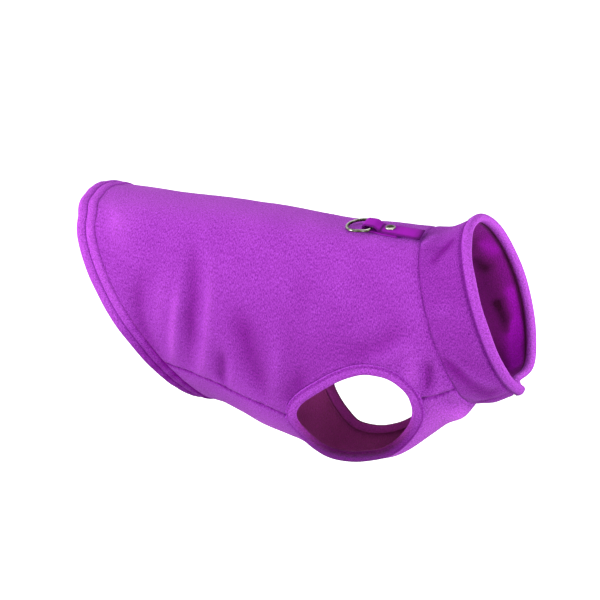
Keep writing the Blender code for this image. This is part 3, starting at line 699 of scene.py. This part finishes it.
# Bells along straight lines of the collar's map: full between the two ends, then falling with the distance
def creaseTone(rows, at, turn, length):
    tone = np.zeros(at.shape)
    for fromAt, fromTurn, toAt, toTurn, halfWidth, amount in rows:
        run = np.array(((toAt - fromAt) * length, (toTurn - fromTurn) * cloth["mapGirth"]))
        x, y = (at - fromAt) * length, (turn - fromTurn) * cloth["mapGirth"]
        part = np.clip((x * run[0] + y * run[1]) / (run @ run), 0, 1)
        gap = (x - part * run[0]) ** 2 + (y - part * run[1]) ** 2
        tone = tone + amount * np.exp(-gap / halfWidth**2)
    return tone


# The rings of the collar, moved by three bells round the turn that grow with the square of at, and raised
# along the throat by a fourth that follows half a sine from seam to rim
def collarPoint(at, turn):
    signed = wrapTurn(turn)
    spreadRound = np.where(signed < mouth["tuckTurn"], mouth["tuckBefore"], mouth["tuckAfter"])
    tuck = bell(signed, mouth["tuckTurn"], spreadRound)
    tip = bell(wrapTurn(turn - mouth["tipTurn"]), 0, mouth["tipSpread"])
    lean = mouth["lean"] * bell(signed, mouth["leanTurn"], mouth["leanSpread"])
    moved = tuck[..., None] * np.array(mouth["tuck"]) + tip[..., None] * np.array(mouth["tip"])
    moved = moved + lean[..., None] * np.array((1.0, 0.0, 0.0))
    under = mouth["rise"] * bell(np.abs(signed), 1, mouth["riseSpread"]) * np.sin(np.pi * at)
    moved = sectionPoint(collarRows, at, turn) + moved * (at**2)[..., None]
    return moved + under[..., None] * np.array((0, 0, 1))


# The collar: rings from the collar seam to the rim, with soft creases; its foot follows the trunk's lift
def makeCollar():
    turn = endTurns(-1)
    at = spread(collar["steps"], 0.4)[:, None] * np.ones_like(turn)[None, :]
    turns = np.broadcast_to(turn, at.shape)
    along, across = sectionSlopes(collarRows, at, turns)
    normal = unit(np.cross(along, across))
    seamNormal = sectionNormal(trunkRows, np.ones_like(turn), turn)
    blend = np.clip(at / 0.25, 0, 1)[..., None]
    normal = unit(normal * blend + seamNormal[None] * (1 - blend))
    length = np.linalg.norm(np.cross(along, unit(across)), axis=-1)
    depth = float(length.mean())
    x, y = at * depth, turns * cloth["mapGirth"]
    lift = 0.35 * unevenness(x, y, 26.0, 5)
    for centre, place, wide, deep, rise in pinchRows:
        lift = lift + rise * mapBell(at, wrapTurn(turns - centre), place, 0, deep, wide)
    valley = collar["valley"] * bell(at * length, 0, collar["valleyWidth"])
    valley = np.maximum(valley, collar["rimValley"] * bell((1 - at) * length, 0, collar["rimValleyWidth"]))
    signed = wrapTurn(turns)
    creases = creaseTone(collarFolds, at, signed, depth)
    lift = lift - 1.1 * creases
    foot = plainLift(np.ones_like(turns), turns) * np.clip(1 - at / collar["footReach"], 0, 1) ** 2
    base = collarPoint(at, turns) + normal * foot[..., None]
    outer = base + normal * (lift - valley)[..., None]
    inner = base + normal * (lift - cloth["wall"] - panel["innerDepth"] * valley)[..., None]
    clothMap = np.stack((x, y), axis=-1)
    # Painted shade over the outside, deeper in valleys, creases and where the cloth sinks, less where it
    # rises. On the lining, painted highlight grows towards the rim, a dark painted line lies right at it, and
    # the creases add painted shade and highlight
    hollow = np.clip(0.34 - 0.20 * lift + 0.32 * valley + creases, -1, 1)
    lining = 0.17 - 0.44 * at + 1.2 * bell((1 - at) * length, 0, 1.8)
    lining = np.clip(lining + creaseTone(liningRows, at, signed, depth), -1, 1)
    body = makeWall("collar_fleece", "collar", outer, inner, clothMap, collarFleece, hollow, lining, True,
                    (0, 2 * cloth["mapGirth"]))
    return body, (base[-1], normal[-1], along[-1], y[-1])


def angleFrom(angle, centre):
    return (angle - centre + np.pi) % (2 * np.pi) - np.pi


# The rolled rim on the collar's last ring: bells round its section paint highlight round its outer side and
# give it the lining's colours, with painted shade, towards the neck; its stitched groove gets painted shade
def makeRim(edge, normal, forward, run):
    profile, groove = rollProfile(collarRoll, unevenLine(run, 34.0, 12))
    sections = edgeSections(edge, normal, forward, profile, 4)
    around = circle(collarRoll["points"])
    inside = bell(angleFrom(around, -2.55), 0, 0.42)
    paintedHighlight = 0.34 * np.exp(-(angleFrom(around, 0.5) / 1.6) ** 4)
    paintedHighlight = paintedHighlight + 0.75 * bell(angleFrom(around, -1.0), 0, 0.85) - 0.75 * inside
    seam = edgeSections(edge, normal, forward, np.array([[[collarRoll["groove"], 1.35]]]), 4)[:, 0]
    roll = makeRing("rim_roll", "collar_rim", sections, runLength(profile[0]), 1.6 * groove - paintedHighlight[None, :],
                    inside[None, :])
    return roll, (seam, normal, True)


collarPiece, rimLine = makeCollar()
rimPiece, rimSeam = makeRim(*rimLine)
print("collar made")

hem = {"width": 8.0, "outside": 1.5, "inside": 1.2, "valley": -0.2, "points": 14, "light": -0.42,
       "shade": 0.72, "shadeTurn": 0.57, "shadeSpread": 0.030}


# Two raised bands beside each other, a sine raised to a small power each, closed round at the edge
def hemProfile():
    width, end = hem["width"], 2 * hem["width"]
    part = np.linspace(0, 1, hem["points"], endpoint=False)
    swell = np.sin(np.pi * part) ** 0.55
    first = np.stack((part * width, hem["valley"] + hem["outside"] * swell), axis=-1)
    second = np.stack((width + part * width, hem["valley"] + 1.2 * hem["outside"] * swell), axis=-1)
    tip = ((end + 0.1, -0.2), (end + 0.45, -1.2), (end + 0.1, -2.3))
    under = np.stack((np.linspace(end - 1.0, -0.8, 14), np.full(14, -cloth["wall"] - hem["inside"])), axis=-1)
    return np.concatenate((((-0.8, -0.9),), first, second[:-2], tip, under))


# The hem's bands round the tail opening: waves of three lengths make their height and width uneven, and a
# smooth step round the turn ripples them more low on the flank; painted highlight lies high on the flank,
# painted shade low on it (rippled there) and in the grooves beside the bands
def makeHem():
    turn = endTurns(0)
    at = hemStart(turn)
    along, across = sectionSlopes(trunkRows, at, turn)
    normal = unit(np.cross(along, across))
    run = turn * cloth["mapGirth"]
    lift = plainLift(at, turn)
    edge = sectionPoint(trunkRows, at, turn) + tailShift(at, turn) + normal * lift[:, None]
    profile = hemProfile()[None] * np.ones((len(turn), 1, 1))
    wave = unevenLine(run, 30.0, 21)[:, None]
    low = 1 / (1 + np.exp(-(np.abs(wrapTurn(turn)) - hem["shadeTurn"]) / hem["shadeSpread"]))
    ripple = unevenLine(run, 9.0, 22)[:, None] * (1 + 3.0 * low[:, None])
    profile[..., 1] *= 1 + 0.10 * wave + 0.06 * ripple
    profile[..., 0] *= 1 + 0.02 * unevenLine(run, 22.0, 23)[:, None]
    sections = edgeSections(edge, normal, -along, profile)
    place = profile[0, :, 0]
    outerFace = profile[0, :, 1] > -0.95
    groove = np.where(outerFace, bell(place, hem["width"], 0.8) + bell(place, 0, 0.8), 0)
    inside = np.where(outerFace | (place > 2 * hem["width"] - 0.5), 0.0, 1.0)
    tone = hem["light"] + (hem["shade"] - hem["light"]) * low + 0.5 * low * unevenLine(run, 8.0, 24)
    seam = edgeSections(edge, normal, -along, np.array([[[hem["width"], hem["valley"] + 0.15]]]))[:, 0]
    bands = makeRing("hem_bands", "hem_binding", sections, runLength(profile[0]),
                     0.35 * groove[None, :] + tone[:, None] * (1 - inside)[None, :], inside[None, :])
    return bands, (seam, normal, True)


hemPiece, hemSeam = makeHem()
print("hem made")


# The loop of one armhole's two arcs, at even steps, with its normals
def armLoop(side):
    arc = slice(panel["rear"], panel["rear"] + panel["arc"] + 1)
    at = np.concatenate((edgeAt[arc], edgeAt[arc][-2:0:-1]))
    corners = np.array((armhole["rearTurn"], armhole["frontTurn"]))
    turn = side * np.concatenate((corners[:1], upperEdge[arc][1:-1], corners[1:], lowerEdge[arc][-2:0:-1]))
    normal = sectionNormal(trunkRows, at, turn)
    edge = sectionPoint(trunkRows, at, turn) + normal * plainLift(at, turn)[:, None]
    run = runLength(closeUp(edge))
    run = run / run[-1]
    even = np.linspace(0, 1, 261)[:-1]
    return even, sampled(closeUp(edge), run, even), unit(sampled(closeUp(normal), run, even))


# The rolled edge of one armhole: a bell makes it wider along the rear of its lower arc, and a flat-topped
# bell paints shade on it there, also with the lining's dark colours on the end turned to the opening; its
# groove gets painted shade and the rest of its outer face a slight painted highlight
def makeArmRoll(name, node, side):
    even, edge, normal = armLoop(side)
    swell = unevenLine(even * armRoll["loopLength"], 24.0, 31 + side)
    cover = armRoll["cover"] * bell(even, armRoll["coverPlace"], armRoll["coverSpread"])
    profile, groove = rollProfile(armRoll, swell, cover)
    inward = edge.mean(axis=0) - edge
    sections = edgeSections(edge, normal, inward, profile)
    shaded = np.exp(-(np.abs(even - armRoll["shadePlace"]) / armRoll["shadeSpread"]) ** 4)[:, None]
    angle = circle(armRoll["points"])[None, :]
    high = np.sin(angle)
    tone = np.where(high > -0.4, 2.4 * groove - 0.20, -0.15)
    tone = np.clip(tone + 1.2 * shaded * np.clip((high + 0.85) / 0.45, 0, 1), -1, 1)
    toward = np.clip(np.cos(angle) * 1.5 - 0.1, 0, 1)
    inside = np.maximum(np.clip(-high * 2.0 - 0.1, 0, 1) * 0.95, shaded * toward * 0.85)
    stitched = np.array([[[armRoll["groove"] + 0.9, armRoll["outside"]]]])
    seam = edgeSections(edge, normal, inward, stitched)[:, 0]
    roll = makeRing(name, node, sections, runLength(profile[0]), tone, inside)
    upper = slice(0, len(edge) // 2)
    return roll, (seam[upper], normal[upper], False)


rightRoll, rightSeam = makeArmRoll("armhole_roll_right", "armhole_binding_right", -1)
leftRoll, leftSeam = makeArmRoll("armhole_roll_left", "armhole_binding_left", 1)
print("armholes made")

stitch = {"pitch": 3.2, "length": 2.3, "thread": 0.30, "sink": 0.12, "sides": 6, "fromCollar": 3.0}


# Sewing thread: slow noise on the object's own place runs the colour from dark to light
def threadMaterial():
    material, surface, wire = startMaterial("thread", {"Roughness": 0.7, "Specular IOR Level": 0.2})
    shade = wire.placeNoise(900.0, 2.0)
    plug(wire.mix(shade, (0.16, 0.004, 0.22, 1.0), (0.32, 0.020, 0.42, 1.0)), surface, "Base Color")
    plugBump(shade, surface, 0.4, 0.0002)
    return material


# A line sewn along the trunk's end of the collar seam
def collarSeamLine():
    turn = np.linspace(-1, 1, 361)[:-1]
    along = sectionSlopes(trunkRows, np.ones_like(turn), turn)[0]
    at = 1 - stitch["fromCollar"] / np.linalg.norm(along, axis=-1)
    normal = sectionNormal(trunkRows, at, turn)
    height = plainLift(at, turn) - 0.5
    return sectionPoint(trunkRows, at, turn) + normal * height[:, None], normal, True


# Stitches in rows along lines: each a short bar, thickest at its middle, laid from one hole to the next
def makeStitches(name, lines):
    angle = circle(stitch["sides"])
    rows = np.array(((-0.5, 0.45), (-0.3, 1.0), (0.3, 1.0), (0.5, 0.45)))
    size = len(rows) * len(angle)
    template = gridFaces(len(rows), len(angle), 0, False, True)
    ends = np.array(((0, 1, 2, 3), (0, 3, 4, 5)))
    template = np.concatenate((template, ends, ends[:, ::-1] + size - len(angle)))
    bars, faces, total = [], [], 0
    for points, normals, closed in lines:
        if closed:
            points, normals = closeUp(points), closeUp(normals)
        run = runLength(points)
        centres = (np.arange(int(run[-1] / stitch["pitch"])) + 0.5) * stitch["pitch"]
        middle, normal = sampled(points, run, centres), unit(sampled(normals, run, centres))
        reach = stitch["length"] / 2
        axis = unit(sampled(points, run, centres + reach) - sampled(points, run, centres - reach))
        side = unit(np.cross(axis, normal))
        middle = middle - normal * stitch["sink"]
        spokes = side[:, None] * np.cos(angle)[None, :, None] + normal[:, None] * np.sin(angle)[None, :, None]
        bar = (middle[:, None, None]
               + axis[:, None, None] * (rows[:, 0] * stitch["length"])[None, :, None, None]
               + spokes[:, None] * (rows[:, 1] * stitch["thread"])[None, :, None, None])
        offset = (total + np.arange(len(centres)) * size)[:, None, None]
        faces.append((template[None] + offset).reshape(-1, 4))
        bars.append(bar.reshape(-1, 3))
        total += len(centres) * size
    points = np.concatenate(bars)
    return makePiece(name, (), "coat", points, np.concatenate(faces), points[:, :2], threadMaterial())


makeStitches("seam_stitches", (hemSeam, rimSeam, rightSeam, leftSeam, collarSeamLine()))
print("stitches made")

strap = {"width": 14.5, "thickness": 1.6, "side": -10.5, "lean": -0.12, "foldX": 101.5, "slack": 6.5,
         "stitchingX": 115.5, "underEndX": 130.0, "gap": 0.3, "creaseX": 115.0}
ring = {"wire": 2.6, "innerWidth": 19.6, "depth": 22.5, "corner": 4.0, "barX": 106.5, "clearance": 0.4,
        "pitch": 6.75}
rivet = {"cap": 8.7, "dome": 1.25, "edge": 0.45, "x": 122.0}


# Height of the back's smooth outer face, from the ring through this place on the spine
def backHeight(x, y):
    at = np.linspace(0, 1, 401)
    station = np.interp(x, sectionPoint(trunkRows, at, 0 * at)[:, 0], at)
    points = sectionPoint(trunkRows, station, np.linspace(-0.25, 0.25, 101))
    return float(np.interp(y, points[:, 1], points[:, 2]))


def strapSide(x):
    return strap["side"] + strap["lean"] * (x - ring["barX"])


half = strap["width"] / 2
strapEnd = float(trunkRows[-1][1]) - strap["gap"]
barSlope = (backHeight(ring["barX"], strap["side"] + half)
            - backHeight(ring["barX"], strap["side"] - half)) / strap["width"]
barHeight = strap["gap"] + strap["thickness"] + ring["clearance"] + ring["wire"] / 2
barCentre = np.array((ring["barX"], strap["side"], backHeight(ring["barX"], strap["side"]) + barHeight))


# Middle line of the strap: under layer, fold round the bar, loose loop, then down to the upper layer. Each
# point is x, height above the back, and how far it follows the back's rounding
def strapPath():
    halfThick = strap["thickness"] / 2
    radius = ring["wire"] / 2 + ring["clearance"] + halfThick
    lower = strap["gap"] + halfThick
    upper = lower + strap["thickness"] + strap["gap"]
    fold, slack, stitching = strap["foldX"], strap["slack"], strap["stitchingX"]
    path = [(x, lower, 1.0) for x in np.linspace(strap["underEndX"], stitching, 8)]
    path += [(x, lower, 0.0) for x in np.linspace(fold + slack, fold, 6)]
    path += [(fold + radius * np.cos(a), barHeight + radius * np.sin(a), 0.0)
             for a in np.radians(np.linspace(-105, -255, 19))]
    crown = barHeight + radius
    path += [(x, crown, 0.0) for x in np.linspace(fold, fold + slack, 6)]
    for part in np.linspace(0.1, 1.0, 10):
        path.append((fold + slack + (stitching - fold - slack) * part,
                     crown + (upper - crown) * (3 * part**2 - 2 * part**3), part))
    path += [(x, upper, 1.0) for x in np.linspace(stitching, strapEnd, 18)[1:]]
    return path


# The strap: its path swept with a flat profile that is rounded at both sides
def makeStrap():
    path = strapPath()
    angle = circle(44)
    wide = signedPower(np.cos(angle), 0.32) * half
    thick = signedPower(np.sin(angle), 0.5) * strap["thickness"] / 2
    middle = np.zeros((len(path), len(angle), 3))
    for row, (x, height, follow) in enumerate(path):
        level = backHeight(x, strapSide(x))
        for place, offset in enumerate(wide):
            y = strapSide(x) + offset
            straight = level + barSlope * offset
            middle[row, place] = (x, y, height + straight + follow * (backHeight(x, y) - straight))
    tangent = np.gradient(middle, axis=0)
    normal = unit(np.stack((-tangent[..., 2], 0 * tangent[..., 0], tangent[..., 0]), axis=-1))
    middle += normal * thick[None, :, None]
    clothMap = sweptMap(runLength(middle[:, 0]), angle * half / np.pi * 2)
    places = len(angle)
    faces = gridFaces(len(path), places, 0, False, True)
    caps = (range(places), range((len(path) - 1) * places, len(path) * places))
    along = np.array([x for x, height, follow in path])[:, None]
    upper = (np.array([height for x, height, follow in path]) > 2 * strap["gap"] + strap["thickness"])[:, None]
    # Painted shade: darker at the crease, at the end by the collar and along the lower edge, and a little over
    # the lower layers
    shade = 0.95 * bell(along, strap["creaseX"], 1.1) + 0.75 * bell(along, strapEnd, 4.0)
    shade = shade + 0.75 * bell(wide[None, :], -half, 1.3)
    return makePiece("strap_webbing", ("leash_strap",), "coat", middle, faces, clothMap, webbing,
                     {"hollow": np.where(upper, np.clip(shade, 0, 1), 0.15)}, caps=caps)


makeStrap()


# The ring's middle line in its own plane: a straight bar, two corners and a half-round bow
def ringPath():
    halfWide = (ring["innerWidth"] + ring["wire"]) / 2
    straight = ring["depth"] - halfWide
    corner = ring["corner"]
    quarter = np.radians(np.linspace(0, 90, 9))
    bar = [(0.0, y) for y in np.linspace(-halfWide + corner, halfWide - corner, 15)[:-1]]
    turnOut = [(-corner * (1 - np.cos(a)), halfWide - corner + corner * np.sin(a)) for a in quarter]
    bow = [(-straight - halfWide * np.sin(a), halfWide * np.cos(a))
           for a in np.radians(np.linspace(0, 180, 61))]
    turnIn = [(-corner * (1 - np.cos(a)), -halfWide + corner - corner * np.sin(a)) for a in quarter[::-1]]
    points = np.array(bar + turnOut + bow + turnIn[:-1])
    run = runLength(closeUp(points))
    return sampled(closeUp(points), run, np.linspace(0, run[-1], 181)[:-1])


# Round wire swept along the middle line, then pitched and rolled about the bar's middle
def makeRingWire():
    path = np.pad(ringPath(), ((0, 0), (0, 1)))
    tangent = unit(np.roll(path, -1, axis=0) - np.roll(path, 1, axis=0))
    side = np.cross(tangent, (0, 0, 1))
    angle = circle(18)
    radius = ring["wire"] / 2
    points = path[:, None] + radius * (side[:, None] * np.cos(angle)[None, :, None]
                                       + np.array((0, 0, 1.0)) * np.sin(angle)[None, :, None])
    turn = Matrix.Rotation(math.atan(barSlope), 3, "X") @ Matrix.Rotation(-math.radians(ring["pitch"]), 3, "Y")
    points = points @ np.array(turn).T + barCentre
    run = runLength(path)
    clothMap = sweptMap(run, angle * radius)
    # Painted reflection: a bright stripe along the wire's upper side, varying along its run, which lifts the
    # tarnish to bright
    bright = np.clip(np.cos(angle - 1.25), 0, 1) ** 3
    mottleAndPaintedGlint = 0.02 + 1.05 * bright[None, :] * (0.65 + 0.35 * np.sin(run / 6.0 + 1.0))[:, None]
    return makePiece("ring_wire", ("d_ring",), "ring", points, gridFaces(len(path), len(angle), 0, True, True),
                     clothMap, nickel, {"mottleAndPaintedGlint": mottleAndPaintedGlint})


makeRingWire()


# A domed cap with a rounded foot: its outline turned round the rivet's axis
def makeRivet():
    radius = rivet["cap"] / 2
    outline = [(radius - 0.25, 0.0), (radius, 0.2), (radius, rivet["edge"] - 0.1)]
    outline += [(radius * math.cos(a) - 0.02, rivet["edge"] + rivet["dome"] * math.sin(a))
                for a in np.radians(np.linspace(4, 88, 14))]
    angle = circle(48)
    rows = np.array([[(r * np.cos(a), r * np.sin(a), z) for a in angle] for r, z in outline])
    top = 2 * strap["gap"] + 2 * strap["thickness"]
    y = strapSide(rivet["x"])
    turn = np.array(Matrix.Rotation(math.atan(barSlope), 3, "X"))
    rows = rows @ turn.T + np.array((rivet["x"], y, backHeight(rivet["x"], y) + top + strap["gap"] - 0.25))
    faces = gridFaces(len(rows), len(angle), 0, False, True)
    clothMap = rows[..., :2]
    last = (len(rows) - 1) * len(angle)
    height = np.linspace(0, 1, len(rows))[:, None]
    # Painted reflection: a bright crescent low on one side of the dome, and a darker top
    lit = np.clip(np.cos(angle + 1.2), 0, 1)[None, :]
    mottleAndPaintedGlint = 0.22 + 0.70 * lit * bell(height, 0.35, 0.2) - 0.6 * np.clip(height * 3 - 1.6, 0, 1)
    return makePiece("rivet_cap", ("rivet",), "coat", rows, faces, clothMap, nickel,
                     {"mottleAndPaintedGlint": mottleAndPaintedGlint}, caps=(range(len(angle)), range(last, last + len(angle))))


makeRivet()
print("strap, ring and rivet made")

def makeFloor():
    mesh = bpy.data.meshes.new("floor")
    size, height = 150.0, -0.45
    corners = [(-size, -size, height), (size, -size, height), (size, size, height), (-size, size, height)]
    mesh.from_pydata(corners, [], [(0, 1, 2, 3)])
    material, surface, wire = startMaterial("floorPaper", {
        "Roughness": 0.9, "Specular IOR Level": 0.1, "Emission Color": (1.0, 1.0, 1.0, 1.0),
        "Emission Strength": 0.7})
    grain = wire.noise(wire.add("ShaderNodeTexCoord", {}, {}, "Object"), 2.0)
    plug(wire.mix(grain, (0.93, 0.93, 0.93, 1.0), (0.95, 0.95, 0.95, 1.0)), surface, "Base Color")
    mesh.materials.append(material)
    floor = bpy.data.objects.new("floor", mesh)
    bpy.context.scene.collection.objects.link(floor)
    floor.visible_diffuse = False


def makeLight(name, place, size, power, colour=(1.0, 1.0, 1.0)):
    light = bpy.data.lights.new(name, "AREA")
    light.size = size
    light.energy = power
    light.color = colour
    lamp = bpy.data.objects.new(name, light)
    lamp.location = place
    aim = Vector(place) - Vector((0.03, 0.0, -0.08))
    lamp.rotation_euler = aim.to_track_quat("Z", "Y").to_euler()
    bpy.context.scene.collection.objects.link(lamp)


# Studio light from all round: brightest from above, weaker from in front, dim from below
def makeWorld():
    world = bpy.data.worlds.new("studio")
    world.use_nodes = True
    background = world.node_tree.nodes["Background"]
    wire = Wire(world.node_tree)
    heading = wire.add("ShaderNodeTexCoord", {}, {}, "Generated")
    upward = wire.add("ShaderNodeSeparateXYZ", {}, {0: heading}, "Z")
    backward = wire.add("ShaderNodeSeparateXYZ", {}, {0: heading}, "Y")
    strength = ((upward * 0.8 + 0.5).clip() * 0.22 + 0.46) * (1.0 - (backward * -1.0).clip() * 0.2)
    plug(strength, background, "Strength")
    background.inputs["Color"].default_value = (1.0, 1.0, 1.0, 1.0)
    bpy.context.scene.world = world


makeFloor()
makeWorld()
makeLight("left", (-1.5, -0.9, 0.35), 0.8, 36.0)
makeLight("right", (1.5, -0.7, -0.1), 0.9, 20.0)
makeLight("top", (0.0, 0.3, 1.6), 1.2, 4.0)
bpy.context.scene.view_settings.view_transform = "Standard"
print("stage set")

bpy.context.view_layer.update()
